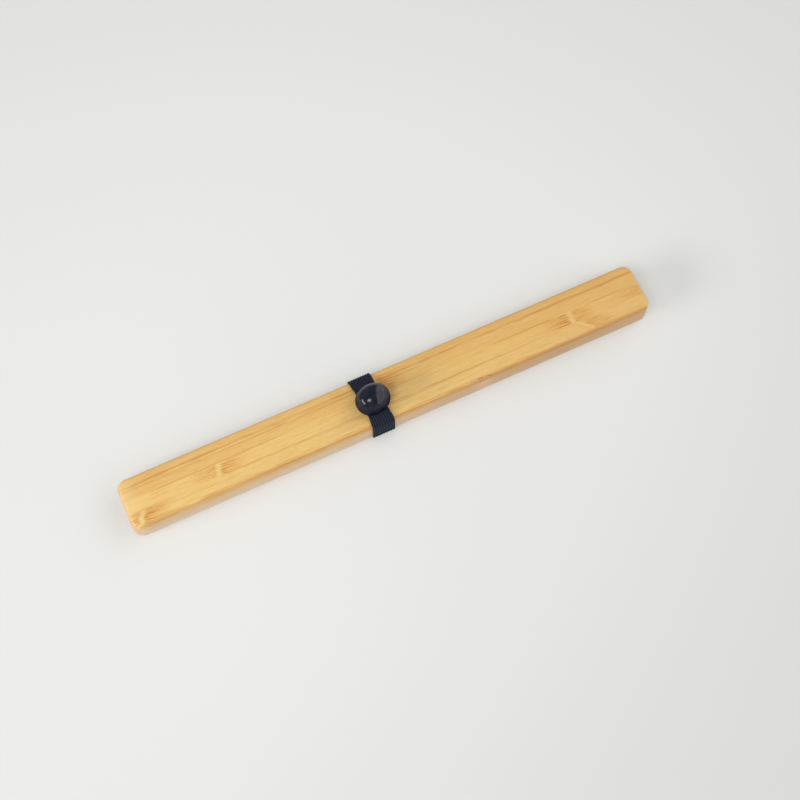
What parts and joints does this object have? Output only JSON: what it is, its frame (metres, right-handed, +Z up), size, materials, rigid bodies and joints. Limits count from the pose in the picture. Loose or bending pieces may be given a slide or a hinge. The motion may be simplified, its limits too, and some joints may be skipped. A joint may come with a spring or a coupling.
{
  "type": "bamboo chopstick case",
  "caption": "Slim bamboo chopstick case: routed tray, rounded lid and tapered chopsticks, held shut by a ribbed elastic band with a glossy slide bead.",
  "frame": {"origin": "on the surface the case stands on, under the middle of the whole part's box, which is the middle of the case", "axes": "+X along the case towards the chopsticks' handles, +Y across it to the back long side, +Z up through the lid"},
  "size_m": [0.24, 0.0246, 0.0251],
  "materials": {
    "bamboo": "laminated bamboo, sanded and lightly oiled, satin",
    "chopstick_bamboo": "plain bamboo, sanded smooth",
    "elastic": "dark navy ribbed woven elastic, matt",
    "bead": "very dark navy, glossy"
  },
  "bodies": {
    "root": {"tray": "bamboo", "lid": "bamboo", "chopstick_front": "chopstick_bamboo", "chopstick_back": "chopstick_bamboo", "elastic_band": "elastic", "bead": "bead"}
  },
  "joints": []
}
